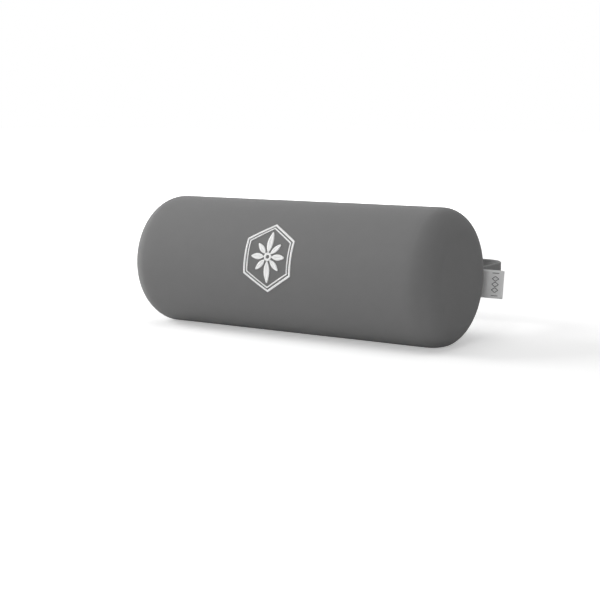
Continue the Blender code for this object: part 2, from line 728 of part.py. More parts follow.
def prong_outlines():
    """The guide and the two sprung arms with their hooks, seen from behind the roll."""
    root = TONGUE_START + BUCKLE_WALL
    half = GUIDE_WIDTH / 2
    guide = mirrored([(GUIDE_TIP, half / 2), (GUIDE_TIP + half, half), (root, half)])
    hook_back = WINDOW_END - FIT_GAP
    inside = CAVITY_WIDTH / 2 - FIT_GAP
    tip_centre = (ARM_TIP + HOOK_ROUNDING, HOOK_REACH - HOOK_ROUNDING)
    arm = [(root, 0.42 * inside), (0.5 * hook_back, 0.62 * inside), (ARM_TIP, 0.80 * inside)]
    arm += arc(tip_centre, HOOK_ROUNDING, math.pi, math.pi / 2, 5)
    arm += [(hook_back, HOOK_REACH), (hook_back, 0.90 * inside), (root, 0.72 * inside)]
    return [guide, arm, [(x, -y) for x, y in reversed(arm)]]


def make_tongue(material):
    """The pronged half: a block with the prongs on it, and the two bars that the strap threads."""
    thick = BUCKLE_THICKNESS / 2
    block_end = TONGUE_START + TONGUE_BLOCK
    corners = (BUCKLE_CORNER / 2, BUCKLE_CORNER)
    prong = thick - BUCKLE_WALL - FIT_GAP
    rail_low = -RAIL_THICKNESS / 2
    rail_high = LAYER_STEP + RAIL_THICKNESS / 2
    rail_end = OUTER_BAR + BUCKLE_BAR_DIAMETER / 2
    bar_length = 2 * RAIL_INSIDE + BUCKLE_WALL
    pieces = [rounded_plate(TONGUE_START, block_end, BUCKLE_WIDTH, corners, -thick, thick, BUCKLE_EDGE)]
    pieces += [plate([prong_part], -prong, prong) for prong_part in prong_outlines()]
    pieces += rails(block_end - 2 * BUCKLE_CORNER, rail_end, rail_low, rail_high)
    middle = TONGUE_START + TONGUE_BLOCK / 2
    for number in range(RIB_COUNT):
        x = middle + (number - (RIB_COUNT - 1) / 2) * RIB_PITCH
        rib = box((x - RIB_WIDTH / 2, -RAIL_INSIDE, 0), (x + RIB_WIDTH / 2, RAIL_INSIDE, thick + RIB_RISE))
        pieces.append(rib)
    pieces.append(crossbar((MIDDLE_BAR, 0, 0), BUCKLE_BAR_DIAMETER, bar_length))
    pieces.append(crossbar((OUTER_BAR, 0, LAYER_STEP), BUCKLE_BAR_DIAMETER, bar_length))
    place_buckle(add_part("buckle_tongue", fused(pieces), material))


def frame_outline(inset):
    """A hexagon standing on its point, drawn in from the emblem's edge by the inset."""
    lean = EMBLEM_HEIGHT / EMBLEM_WIDTH / 2
    half = EMBLEM_WIDTH / 2 - inset
    apex = EMBLEM_HEIGHT / 2 - inset * math.hypot(1, lean)
    shoulder = apex - lean * half
    upper = [(half, shoulder), (0, apex), (-half, shoulder)]
    return upper + [(x, -y) for x, y in reversed(upper)]


def petal_half(width, share):
    """Half of a petal's width at a share of its length."""
    return width / 2 * math.sin(math.pi * share**0.75) ** 0.8


def rosette_outlines():
    """Pointed petals round an eye, each with a fellow across it, and the upright pair the longest."""
    outline = []
    petals = list(zip(PETAL_LENGTHS, PETAL_WIDTHS)) * 2
    turn = math.tau / len(petals)
    for number, (length, width) in enumerate(petals):
        angle = number * turn
        notch = Vector((math.cos(angle - turn / 2), math.sin(angle - turn / 2))) * ROSETTE_HEART
        edge = []
        for share in PETAL_STATIONS:
            edge.append((ROSETTE_HEART + (length - ROSETTE_HEART) * share, petal_half(width, share)))
        petal = [(x, -y) for x, y in edge] + [(length, 0)] + edge[::-1]
        outline.append(tuple(notch))
        outline += [tuple(Matrix.Rotation(angle, 2) @ Vector(point)) for point in petal]
    eye = arc((0, 0), ROSETTE_EYE, 0, math.tau * 7 / 8, 7)
    return [outline, eye]


def make_emblem(material):
    inner = FRAME_LINE + FRAME_SPACING
    designs = {
        "emblem_frame_outer": [frame_outline(0), frame_outline(FRAME_LINE)],
        "emblem_frame_inner": [frame_outline(inner), frame_outline(inner + INNER_FRAME_LINE)],
        "emblem_rosette": rosette_outlines(),
    }
    base = ROLL_RADIUS + FIT_GAP
    for name, outlines in designs.items():
        flat = plate(outlines, 0, EMBLEM_THICKNESS)
        add_part(name, wrap(flat, EMBLEM_ANGLE, base), material)


def main():
    cover = make_material("cover_grey", (0.165, 0.165, 0.165), 0.85)
    foam = make_material("foam_white", (0.80, 0.78, 0.72), 0.95)
    webbing = make_material("webbing_grey", (0.18, 0.18, 0.18), 0.80)
    ribbon = make_material("ribbon_white", (0.78, 0.78, 0.78), 0.60)
    thread = make_material("thread_white", (0.90, 0.90, 0.90), 0.45)
    zip_tape = make_material("zip_grey", (0.11, 0.11, 0.11), 0.60)
    plastic = make_material("plastic_charcoal", (0.035, 0.035, 0.037), 0.45)
    make_core(foam)
    make_cover(cover)
    make_zip_half("zip_half_upper", -1, zip_tape)
    make_zip_half("zip_half_lower", 1, zip_tape)
    make_end_stop(zip_tape)
    make_slider(plastic)
    make_pull(plastic)
    make_left_strap(webbing)
    make_right_strap(webbing)
    make_tag(ribbon)
    make_socket(plastic)
    make_tongue(plastic)
    make_emblem(thread)


clear_scene()
PARTS = add_collection("car_neck_pillow")
CUTTERS = add_collection("cutters")
main()
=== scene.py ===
"""Looks of the roll-shaped neck pillow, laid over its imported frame.

Metres, +X along the roll, +Y to its back, +Z up. The roll lies on the floor at z = 0.
"""

import math
import bpy
from mathutils import Matrix, Vector, noise


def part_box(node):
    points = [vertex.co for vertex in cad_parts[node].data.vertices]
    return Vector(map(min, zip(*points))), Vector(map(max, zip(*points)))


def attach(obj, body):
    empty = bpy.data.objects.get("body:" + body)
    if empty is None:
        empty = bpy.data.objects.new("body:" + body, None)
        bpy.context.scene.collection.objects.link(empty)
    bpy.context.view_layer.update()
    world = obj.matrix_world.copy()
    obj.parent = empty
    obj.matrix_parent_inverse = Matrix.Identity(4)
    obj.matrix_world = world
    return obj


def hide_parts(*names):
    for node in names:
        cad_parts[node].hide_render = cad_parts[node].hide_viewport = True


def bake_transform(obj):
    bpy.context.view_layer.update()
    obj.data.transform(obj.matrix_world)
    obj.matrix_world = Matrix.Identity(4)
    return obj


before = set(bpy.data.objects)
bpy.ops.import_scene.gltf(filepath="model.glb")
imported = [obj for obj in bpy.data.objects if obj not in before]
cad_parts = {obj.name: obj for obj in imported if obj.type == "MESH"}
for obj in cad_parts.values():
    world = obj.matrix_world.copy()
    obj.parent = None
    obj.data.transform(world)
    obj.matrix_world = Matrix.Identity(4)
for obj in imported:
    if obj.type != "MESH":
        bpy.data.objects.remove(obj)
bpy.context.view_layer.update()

# Roll, from the frame
SLEEVE_LOW, SLEEVE_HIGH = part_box("cover_sleeve")
ROLL_RADIUS = (SLEEVE_HIGH.y - SLEEVE_LOW.y) / 2
AXIS_HEIGHT = SLEEVE_HIGH.z - ROLL_RADIUS
TUBE_HALF = SLEEVE_HIGH.x
ROLL_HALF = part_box("cover_end_right")[1].x
END_ROUNDING = ROLL_HALF - TUBE_HALF
COVER_THICKNESS = 0.0016
FIT_GAP = 0.0003
END_CROWN = 0.0012
AROUND = 144
UNEVENNESS = 0.00012
UNEVEN_SCALE = 22
STATION_STEP = 0.0025
PATCH_STEP = 0.0011
ROUNDING_STEPS = 16
END_RINGS = 14
FLOOR_BEND = 0.0015
SLIDER_ROOM = 0.0028
SHAVED_PAST_TAPE = 0.002
POLE_RADIUS = 0.0002

# Any piece: what a sharp edge is, what counts as one place, and how far a test reaches off it
SHARP_ANGLE = math.radians(50)
SAME_PLACE = 1e-6
ROUND_OFF = 1e-9
PROBE = 0.001

# Seams of the cover
SEAM_DEPTH = 0.00012
SEAM_HALF_WIDTH = 0.0008

# Zip
ZIP_ANGLE = math.radians(28)
ZIP_RADIUS = 0.0551771
SLIT_HALF = 0.1048
SLIT_WIDTH = 0.012
SLIT_CORNER = 0.003
PATCH_HALF_LENGTH = 0.1125
PATCH_COLUMNS = 5
# Across from the slit's edge, and how high the folded cloth stands there
FOLD_PROFILE = (
    (0.0000, 0.00020),
    (0.0005, 0.00042),
    (0.0012, 0.00038),
    (0.0018, 0.00005),
    (0.0022, -0.00014),
    (0.0026, 0.00005),
    (0.0034, 0.00024),
    (0.0046, 0.00010),
)
FOLD_ROUNDING = 0.0006
TOPSTITCH_INSET = 0.0022
TOPSTITCH_PITCH = 0.003
TOPSTITCH_RISE = 0.00030
CORNER_STEPS = 6
STITCH_SHARE = (0.12, 0.88)
THREAD_END = 0.55
CHAIN_HALF = 0.095
SLIDER_LOW, SLIDER_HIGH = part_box("zip_slider")
SLIDER_X = (SLIDER_LOW.x + SLIDER_HIGH.x) / 2
SLIDER_HALF = (SLIDER_HIGH.x - SLIDER_LOW.x) / 2
WEDGE_LENGTH = 0.0029
END_STOP_START, END_STOP_END = (corner.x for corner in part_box("zip_end_stop"))
LAST_TOOTH_END = 0.0922
TAPE_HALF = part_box("zip_half_upper")[1].x
TAPE_WIDTH = 0.0145
TAPE_THICKNESS = 0.0006
TAPE_INNER = 0.0012
TAPE_PARTED = 0.0018
TAPE_JOINED = 0.0002
# Along the roll, and how far the tape's edge is from the zip's middle there
TAPE_EDGE = (
    (SLIDER_LOW.x - 0.0009, TAPE_JOINED),
    (SLIDER_LOW.x - 0.0003, TAPE_PARTED),
    (SLIDER_X - SLIDER_HALF + WEDGE_LENGTH, TAPE_PARTED),
    (-CHAIN_HALF, TAPE_INNER),
    (LAST_TOOTH_END, TAPE_INNER),
    (LAST_TOOTH_END + 0.0008, TAPE_JOINED),
    (END_STOP_START - 0.0006, TAPE_JOINED),
    (END_STOP_START - 0.0002, TAPE_INNER),
    (END_STOP_END, TAPE_INNER),
    (END_STOP_END + 0.0015, TAPE_JOINED),
)
# Across from the tape's edge, and the bead's half height
TAPE_BEAD = (
    (0.0000, 0.00025),
    (0.0003, 0.00042),
    (0.0007, 0.00045),
    (0.0011, 0.00042),
    (0.0015, 0.00030),
)
TAPE_COLUMNS = 8
TAPE_STEP = 0.001
TAPE_FINE_STEP = 0.0003
TOOTH_PITCH = 0.003
TOOTH_HEIGHT = 0.0024
TOOTH_ROUNDING = 0.00022
# Along from a tooth's middle, and across from the zip's middle
TOOTH_OUTLINE = (
    (0.00060, 0.00300),
    (0.00088, 0.00270),
    (0.00088, 0.00215),
    (0.00050, 0.00165),
    (0.00038, 0.00120),
    (0.00040, 0.00040),
    (0.00070, -0.00010),
    (0.00074, -0.00055),
    (0.00048, -0.00090),
)
STOP_LENGTH = 0.0025
STOP_WIDTH = 0.0028

# Strap
STRAP_WIDTH = 0.024
STRAP_THICKNESS = 0.0015
STRAP_ANGLE = math.radians(-10)
STRAP_ROOT_START = 0.104
LOOP_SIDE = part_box("strap_right")[1].x - STRAP_THICKNESS / 2
LOOP_DEPTH = 0.0724
ROOT_BEND = 0.004
LOOP_CORNER = 0.020
SEWN_TURN_BACK = 0.020
STRAP_TAIL = 0.046
HEM_LENGTH = 0.010
# Where the strap straightens: off the cover, or along the roll's rounded end
FREE_OUT = (0.003, 0.025)
FREE_ALONG = (0.131, 0.141)
BAR_WRAP = 0.00255
SOCKET_BAR = -0.029
MIDDLE_BAR = 0.019
STRAP_BACK = ROLL_RADIUS * math.cos(STRAP_ANGLE)
STRAP_HEIGHT = AXIS_HEIGHT + ROLL_RADIUS * math.sin(STRAP_ANGLE)
LAYER_STEP = STRAP_THICKNESS + FIT_GAP
BAR_BEND = 0.94 * BAR_WRAP
BETWEEN_BEND = 0.48
FOLD_BEND = 0.47
RIB_WIDTH = 0.0012
RIB_DEPTH = 0.00020
STRAP_COLUMNS = 60
FLOAT_LENGTH = 0.0024
FLOAT_DEPTH = 0.00014
FIBRE_SHARE = 0.4
SELVEDGE = 0.0007
EDGE_SLIM = 0.2
EDGE_WEAR = 0.0012
EDGE_PALER = 1.45
SEAM_MARGIN = 0.0025
BOX_SEAM = 0.020
HEM_SEAM = 0.0035
STITCH_PITCH = 0.0028
STITCH_RADIUS = 0.00022

# Tag
TAG_START = 0.112
TAG_END = 0.1614
TAG_WIDTH = 0.0239
TAG_LAYER = 0.0004
TAG_LEAN = 0.06
MARK_PLACE = 0.1540
MARK_PITCH = 0.0048
MARK_SIZE = (0.0030, 0.0021)
MARK_THREAD_RADIUS = 0.00028
MARK_STITCH = 0.0008
TAG_STEP = 0.001
TAG_COLUMNS = 16
TAG_SELVEDGE = 0.0002

# Emblem: two hexagon outlines round a rosette
EMBLEM_ANGLE = math.radians(165.3)
EMBLEM_WIDTH = 0.047
EMBLEM_HEIGHT = 0.060
FRAME_LINE = 0.0019
INNER_FRAME_LINE = 0.0011
FRAME_SPACING = 0.0012
# Length and width of four petals, the same again for the other four
PETALS = ((0.0166, 0.0052), (0.0158, 0.0046), (0.0222, 0.0058), (0.0158, 0.0046))
ROSETTE_HEART = 0.0040
ROSETTE_EYE = 0.0016
SATIN_PITCH = 0.00042
SATIN_RADIUS = 0.00027
SATIN_RISE = 0.00045
PETAL_SLANT = 0.35
PETAL_SHARP = 0.0003
PETAL_ROOT = 0.75
PETAL_BELLY = 0.8
ROWS_OVERLAP = 0.0001
HEART_FILLED = 0.94

# Weave, grain and wear of the materials, and the painted shade and highlight on the weaves' relief
TWILL_PITCH = 0.0009
TWILL_BAND = 0.0021
TWILL_DEPTH = 0.00012
FUZZ_SCALE = 2600.0
MOTTLE_SCALE = 90.0
FIBRE_SCALE = 3200.0
TWIST_SCALE = 5000.0
GRAIN_SCALE = 2400.0
WEAR_SCALE = 160.0
PORE_SCALE = 900.0
KNIT_ROWS = 0.75
KNIT_WOBBLE = 0.6
FLOAT_SHADE_TONES = (0.80, 1.12)
TWILL_SHADE_TONES = (0.75, 1.15)
TWIST_DEPTH = 0.00005
PORE_DEPTH = 0.0004
GLOSS_SPREAD = 0.06
ZIP_ROUNDING = 0.0001
BUCKLE_ROUNDING = 0.0002
PLASTIC_SHARP_ANGLE = math.radians(35)

# Camera and light
CAMERA_PLACE = Vector((0.5753, -0.8962, 0.1860))
CAMERA_TURN = math.radians(32.88)
CAMERA_DROP = math.radians(8.49)
CAMERA_LENS = 74.3
CAMERA_REACH = 100
# Place, size and power of each lamp
LAMPS = {
    "key": ((-1.5, -0.7, 1.2), 1.0, 13.8),
    "top": ((0.1, -0.2, 1.8), 1.2, 7.0),
    "left": ((-1.9, -0.1, 0.5), 1.0, 15.2),
    "low": ((0.4, -1.7, 0.15), 1.0, 10.2),
    "back": ((-0.8, 1.6, 0.5), 1.0, 8.0),
}
SKY_LIGHT = 0.27
FLOOR_COLOUR = 0.9
FLOOR_GLOW = (0.38, 0.84)
FLOOR_FADE = (0.3, 1.6)
FLOOR_HALF = 12


def mesh_object(name, points, faces, uvs=None):
    """A mesh object from points and faces, smooth, with one (u, v) for each face corner."""
    mesh = bpy.data.meshes.new(name)
    mesh.from_pydata([tuple(point) for point in points], [], faces)
    mesh.update()
    mesh.shade_smooth()
    if uvs:
        layer = mesh.uv_layers.new(name="UVMap")
        for loop, uv in zip(layer.data, uvs):
            loop.uv = uv
    item = bpy.data.objects.new(name, mesh)
    bpy.context.scene.collection.objects.link(item)
    return item


def on_roll(x, angle, radius):
    """A point round the roll's axis: angle 0 is the back, a quarter turn the top."""
    return Vector((x, radius * math.cos(angle), AXIS_HEIGHT + radius * math.sin(angle)))


def spread(start, end, step):
    """Even steps from start up to, and without, end."""
    count = max(1, round((end - start) / step))
    return [start + (end - start) * number / count for number in range(count)]


def soft_floor(height):
    """Keeps a height above the floor, with a soft bend where the roll meets its flat spot."""
    if height > FLOOR_BEND:
        return height
    if height < -FLOOR_BEND:
        return 0.0
    return (height + FLOOR_BEND) ** 2 / (4 * FLOOR_BEND)


def roll_stations():
    """The roll's outline, left to right: x, radius, the normal's x and radius, length along it."""
    tube = spread(0, CHAIN_HALF, STATION_STEP) + spread(CHAIN_HALF, PATCH_HALF_LENGTH, PATCH_STEP)
    seam = TUBE_HALF - 2 * SEAM_HALF_WIDTH
    tube += spread(PATCH_HALF_LENGTH, seam, STATION_STEP) + [seam, seam + SEAM_HALF_WIDTH]
    right = [(x, ROLL_RADIUS, 0.0, 1.0) for x in tube]
    rim = ROLL_RADIUS - END_ROUNDING
    for step in range(ROUNDING_STEPS):
        angle = math.pi / 2 * (1 - step / ROUNDING_STEPS)
        bend = (math.cos(angle), math.sin(angle))
        right.append((TUBE_HALF + END_ROUNDING * bend[0], rim + END_ROUNDING * bend[1], *bend))
    for step in range(END_RINGS):
        share = 1 - step / END_RINGS
        right.append((ROLL_HALF + END_CROWN * (1 - share**2) ** 2, rim * share, 1.0, 0.0))
    right.append((ROLL_HALF + END_CROWN, 0.0, 1.0, 0.0))
    left = [(-x, radius, -nx, nr) for x, radius, nx, nr in reversed(right[1:])]
    stations, length = [], 0.0
    whole = left + right
    for number, (x, radius, nx, nr) in enumerate(whole):
        if number:
            length += math.dist((x, radius), whole[number - 1][:2])
        stations.append((x, radius, nx, nr, length))
    return stations


def seam_dip(x):
    """How deep the end seams pull the cloth in."""
    share = abs(abs(x) - TUBE_HALF) / (2 * SEAM_HALF_WIDTH)
    return SEAM_DEPTH * max(0.0, 1 - share) ** 2


def skin_point(x, radius, nx, nr, angle, rise=0.0):
    """A point of the cover, with the cloth's slight unevenness."""
    rough = Vector((x, radius * math.cos(angle), radius * math.sin(angle))) * UNEVEN_SCALE
    rise += UNEVENNESS * noise.noise(rough) - seam_dip(x)
    point = on_roll(x + nx * rise, angle, max(0.0, radius + nr * rise))
    point.z = soft_floor(point.z)
    return point


def slit_edge(x, across):
    """The point of the slit's outline that answers one of the patch's outline, and its way out."""
    half = SLIT_WIDTH / 2
    patch_half_width = ROLL_RADIUS * PATCH_COLUMNS * math.tau / AROUND
    here = Vector((x * SLIT_HALF / PATCH_HALF_LENGTH, across * half / patch_half_width))
    limit = Vector((SLIT_HALF - SLIT_CORNER, half - SLIT_CORNER))
    centre = Vector((min(max(here.x, -limit.x), limit.x), min(max(here.y, -limit.y), limit.y)))
    spoke = (here - centre).normalized()
    return centre + spoke * SLIT_CORNER, spoke


def round_edges(item, width, segments=3, angle=SHARP_ANGLE):
    """Rounds an object's sharp edges."""
    edge = item.modifiers.new("rounded_edge", "BEVEL")
    edge.width = width
    edge.segments = segments
    edge.angle_limit = angle
    return edge


def from_zip(column):
    """The grid column's place across the zip, 0 in its middle and below zero on one side."""
    return (column + AROUND // 2) % AROUND - AROUND // 2


def flat_place(stations, i, j, on_end):
    """A grid point's place in the flat cloth: the tube rolled out, or an end panel spread flat."""
    length = stations[i][4]
    if not on_end:
        return length, ROLL_RADIUS * math.tau * j / AROUND
    reach = min(length, stations[-1][4] - length)
    angle = ZIP_ANGLE + j * math.tau / AROUND
    return reach * math.cos(angle), reach * math.sin(angle)


def cover_points(stations, first, last):
    """The cover's grid without the inside of the zip's patch, and the number of each point."""
    points, index = [], {}
    for i, station in enumerate(stations):
        for j in range(AROUND):
            if station[1] == 0.0 and j:
                index[i, j] = index[i, 0]
            elif not (first < i < last and abs(from_zip(j)) < PATCH_COLUMNS):
                index[i, j] = len(points)
                points.append(skin_point(*station[:4], ZIP_ANGLE + j * math.tau / AROUND))
    return points, index


def cover_faces(stations, first, last, index):
    """The faces between the grid's points, and the flat places of their corners."""
    faces, places = [], []
    for i in range(len(stations) - 1):
        reach = max(abs(stations[i][0]), abs(stations[i + 1][0]))
        for j in range(AROUND):
            if first <= i < last and -PATCH_COLUMNS <= from_zip(j) < PATCH_COLUMNS:
                continue
            spots = [(i, j), (i, j + 1), (i + 1, j + 1), (i + 1, j)]
            ring = [index[row, column % AROUND] for row, column in spots]
            kept = [k for k in range(4) if ring[k] not in ring[:k]]
            faces.append([ring[k] for k in kept])
            on_end = reach > TUBE_HALF + SAME_PLACE
            places += [flat_place(stations, *spots[k], on_end) for k in kept]
    return faces, places


def patch_outline(first, last):
    """The grid's places round the zip's patch, in order."""
    half = PATCH_COLUMNS
    around = [(i, -half) for i in range(first, last)]
    around += [(last, j) for j in range(-half, half)]
    around += [(i, half) for i in range(last, first, -1)]
    return around + [(first, j) for j in range(half, -half, -1)]


def make_cover():
    """The sewn cover: a tube and two cupped ends with fine seams, and the folded slit."""
    stations = roll_stations()
    from_patch = [abs(station[0] + PATCH_HALF_LENGTH) for station in stations]
    first = from_patch.index(min(from_patch))
    last = len(stations) - 1 - first
    points, index = cover_points(stations, first, last)
    faces, places = cover_faces(stations, first, last, index)
    around = patch_outline(first, last)
    before = [index[i, j % AROUND] for i, j in around]
    flat_before = [(stations[i][0], ROLL_RADIUS * math.tau * j / AROUND) for i, j in around]
    edges = [slit_edge(*spot) for spot in flat_before]
    shift = stations[len(stations) // 2][4]
    for distance, rise in reversed(FOLD_PROFILE):
        ring, flat = [], []
        for edge, way in edges:
            x, across = edge + way * distance
            ring.append(len(points))
            flat.append((x, across))
            angle = ZIP_ANGLE + across / ROLL_RADIUS
            points.append(skin_point(x, ROLL_RADIUS, 0.0, 1.0, angle, rise))
        for k in range(len(ring)):
            after = (k + 1) % len(ring)
            faces.append([before[k], ring[k], ring[after], before[after]])
            corners = [flat_before[k], flat[k], flat[after], flat_before[after]]
            places += [(x + shift, across) for x, across in corners]
        before, flat_before = ring, flat
    cover = mesh_object("cover", points, faces, places)
    wall = cover.modifiers.new("wall", "SOLIDIFY")
    wall.thickness = COVER_THICKNESS
    wall.offset = -1
    round_edges(cover, FOLD_ROUNDING)
    cover.data.materials.append(COVER_CLOTH)
    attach(cover, "root")
    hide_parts("cover_sleeve", "cover_end_left", "cover_end_right")


class Finish:
    """A material in the making, with short ways to add its nodes."""

    def __init__(self, name, colour, roughness, sheen=0.0):
        self.material = bpy.data.materials.new(name)
        self.material.use_nodes = True
        self.tree = self.material.node_tree
        self.shader = self.tree.nodes["Principled BSDF"]
        self.shader.inputs["Base Color"].default_value = (*colour, 1.0)
        self.shader.inputs["Roughness"].default_value = roughness
        self.shader.inputs["Sheen Weight"].default_value = sheen
        self.shader.inputs["Sheen Roughness"].default_value = 0.5

    def add(self, kind, settings=None, **inputs):
        """A node with its settings and inputs; an input is named, or numbered as _0, _1, _2."""
        item = self.tree.nodes.new(kind)
        for key, value in (settings or {}).items():
            setattr(item, key, value)
        for key, value in inputs.items():
            socket = item.inputs[int(key[1:]) if key[0] == "_" else key.replace("_", " ")]
            if isinstance(value, bpy.types.NodeSocket):
                self.tree.links.new(value, socket)
            else:
                socket.default_value = value
        return item

    def place(self, kind):
        """Where a point is: UV in the flat cloth, Object in the shape."""
        return self.add("ShaderNodeTexCoord").outputs[kind]

    def calc(self, operation, *values):
        """The result of an operation on values or sockets."""
        numbered = {f"_{number}": value for number, value in enumerate(values)}
        return self.add("ShaderNodeMath", {"operation": operation}, **numbered).outputs[0]

    def mottle(self, place, scale, detail):
        """Noise of this scale."""
        noisy = self.add("ShaderNodeTexNoise", Vector=place, Scale=scale, Detail=detail)
        return noisy.outputs["Fac"]

    def wave(self, place, pitch, direction="X", **inputs):
        """Even waves of this pitch in metres."""
        scale = math.pi / 10 / pitch
        settings = {"bands_direction": direction}
        wave = self.add("ShaderNodeTexWave", settings, Vector=place, Scale=scale, **inputs)
        return wave.outputs["Fac"]

    def mapped(self, value, low, high, settings=None, **ends):
        """A value brought to the range from low to high."""
        ends |= {"To_Min": low, "To_Max": high}
        node = self.add("ShaderNodeMapRange", settings, Value=value, **ends)
        return node.outputs["Result"]

    def send(self, source, name):
        """Links a varying value to one of the shader's sockets."""
        self.tree.links.new(source, self.shader.inputs[name])

    def bump(self, height, distance, strength=1.0):
        """Relief of this depth in metres, too fine for the mesh."""
        node = self.add("ShaderNodeBump", Strength=strength, Distance=distance, Height=height)
        self.send(node.outputs["Normal"], "Normal")


def cloth_material(name, colour, pitch, depth, variation=0.04, sheen=0.15):
    """Fine knit cloth: rows and columns of loops in the flat cloth, and faint mottling."""
    cloth = Finish(name, (colour,) * 3, roughness=0.92, sheen=sheen)
    place = cloth.place("UV")
    columns = cloth.wave(place, pitch, "Y")
    rows = cloth.wave(place, KNIT_ROWS * pitch, Distortion=KNIT_WOBBLE, Detail=0.0)
    loops = cloth.calc("MULTIPLY", columns, rows)
    cloth.bump(cloth.calc("ADD", loops, cloth.mottle(place, FUZZ_SCALE, 2.0)), depth)
    shade = cloth.mottle(place, MOTTLE_SCALE, 4.0)
    tone = cloth.mapped(shade, colour * (1 - variation), colour * (1 + variation))
    cloth.send(tone, "Base Color")
    return cloth.material


def webbing_material(name, colour):
    """Yarn over the ribs that the mesh carries: short staggered floats with painted shade and
    highlight on their relief, and worn, paler edges.
    """
    webbing = Finish(name, (colour,) * 3, roughness=0.8, sheen=0.1)
    place = webbing.place("UV")
    flat = webbing.add("ShaderNodeSeparateXYZ", Vector=place)
    rib = webbing.calc("SNAP", flat.outputs["Y"], RIB_WIDTH)
    along = webbing.calc("MULTIPLY_ADD", rib, FLOAT_LENGTH / 2 / RIB_WIDTH, flat.outputs["X"])
    hill = webbing.calc("PINGPONG", along, FLOAT_LENGTH / 2)
    smooth = {"interpolation_type": "SMOOTHSTEP"}
    floats = webbing.mapped(hill, 0.0, 1.0, smooth, From_Max=FLOAT_LENGTH / 4)
    fibres = webbing.mottle(place, FIBRE_SCALE, 3.0)
    height = webbing.calc("MULTIPLY_ADD", fibres, FIBRE_SHARE, floats)
    webbing.bump(height, FLOAT_DEPTH)
    # Colour follows the floats' relief: painted shade in the hollows and painted highlight on the
    # crests, plus random fibre tone.
    shade_tones = [colour * share for share in FLOAT_SHADE_TONES]
    tone = webbing.mapped(height, *shade_tones, From_Max=1 + FIBRE_SHARE)
    inwards = webbing.calc("PINGPONG", flat.outputs["Y"], STRAP_WIDTH / 2)
    worn = webbing.mapped(inwards, EDGE_PALER, 1.0, From_Max=EDGE_WEAR)
    webbing.send(webbing.calc("MULTIPLY", tone, worn), "Base Color")
    return webbing.material


def tape_material(name, colour):
    """Zip tape: a herringbone twill that turns back at each band across the tape, with painted
    shade in its grooves and painted highlight on its ridges.
    """
    tape = Finish(name, (colour,) * 3, roughness=0.85, sheen=0.1)
    flat = tape.add("ShaderNodeSeparateXYZ", Vector=tape.place("UV"))
    turned = tape.calc("PINGPONG", flat.outputs["Y"], TWILL_BAND)
    along = tape.calc("ADD", flat.outputs["X"], turned)
    twill = tape.wave(tape.add("ShaderNodeCombineXYZ", X=along).outputs[0], TWILL_PITCH)
    tape.bump(twill, TWILL_DEPTH)
    # Colour follows the twill's relief: painted shade in the grooves and painted highlight on the
    # ridges.
    shade_tones = [colour * share for share in TWILL_SHADE_TONES]
    tape.send(tape.mapped(twill, *shade_tones), "Base Color")
    return tape.material


def plastic_material(name, colour, roughness, grain):
    """Moulded plastic with a fine spark-eroded grain."""
    plastic = Finish(name, colour, roughness)
    place = plastic.place("Object")
    plastic.bump(plastic.mottle(place, GRAIN_SCALE, 2.0), grain, strength=0.5)
    wear = plastic.mottle(place, WEAR_SCALE, 4.0)
    gloss = plastic.mapped(wear, roughness - GLOSS_SPREAD, roughness + GLOSS_SPREAD)
    plastic.send(gloss, "Roughness")
    return plastic.material


def thread_material(name, colour, sheen=0.1):
    """Thread with the fine twist of its yarn."""
    thread = Finish(name, (colour,) * 3, roughness=0.55, sheen=sheen)
    twist = thread.mottle(thread.place("Object"), TWIST_SCALE, 1.0)
    thread.bump(twist, TWIST_DEPTH, strength=0.3)
    return thread.material


def foam_material(name, colour):
    """Open-cell foam: small round pores."""
    foam = Finish(name, colour, roughness=0.95)
    pores = foam.add("ShaderNodeTexVoronoi", Vector=foam.place("Object"), Scale=PORE_SCALE)
    foam.bump(pores.outputs["Distance"], PORE_DEPTH, strength=0.8)
    return foam.material


COVER_CLOTH = cloth_material("cover_cloth", 0.165, pitch=0.0008, depth=0.00010)
WEBBING = webbing_material("webbing", 0.195)
RIBBON = cloth_material(
    "ribbon", 0.82, pitch=0.0004, depth=0.00004, variation=0.03, sheen=0.05
)
ZIP_TAPE = tape_material("zip_tape", 0.11)
EMBLEM_THREAD = thread_material("emblem_thread", 0.94, sheen=0.3)
SEAM_THREAD = thread_material("seam_thread", 0.13)
STRAP_THREAD = thread_material("strap_thread", 0.10)
MARK_THREAD = thread_material("mark_thread", 0.03)
ZIP_PLASTIC = plastic_material(
    "zip_plastic", (0.060, 0.060, 0.062), roughness=0.35, grain=0.00002
)
BUCKLE_PLASTIC = plastic_material(
    "buckle_plastic", (0.035, 0.035, 0.037), roughness=0.42, grain=0.00005
)
FOAM = foam_material("foam", (0.90, 0.89, 0.86))


def make_foam():
    """The foam filling, shaved flat along the zip so that the slider runs free."""
    inset = COVER_THICKNESS + FIT_GAP
    stations = roll_stations()
    points, faces = [], []
    steps = AROUND // 2
    out = Vector((0, math.cos(ZIP_ANGLE), math.sin(ZIP_ANGLE)))
    shaved = ZIP_RADIUS - SLIDER_ROOM
    for x, radius, nx, nr, _ in stations:
        for step in range(steps):
            angle = math.tau * step / steps
            point = on_roll(x - nx * inset, angle, max(POLE_RADIUS, radius - nr * inset))
            point.z = inset + soft_floor(point.z - inset)
            reach = (point - Vector((0, 0, AXIS_HEIGHT))).dot(out)
            if abs(x) < TAPE_HALF + SHAVED_PAST_TAPE and reach > shaved:
                point -= out * (reach - shaved)
            points.append(point)
    for i in range(len(stations) - 1):
        for j in range(steps):
            a, b = i * steps + j, i * steps + (j + 1) % steps
            faces.append([a, b, b + steps, a + steps])
    faces.append(list(reversed(range(steps))))
    faces.append(list(range(len(points) - steps, len(points))))
    foam = mesh_object("foam_filling", points, faces)
    foam.data.materials.append(FOAM)
    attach(foam, "root")
    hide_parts("foam_core")


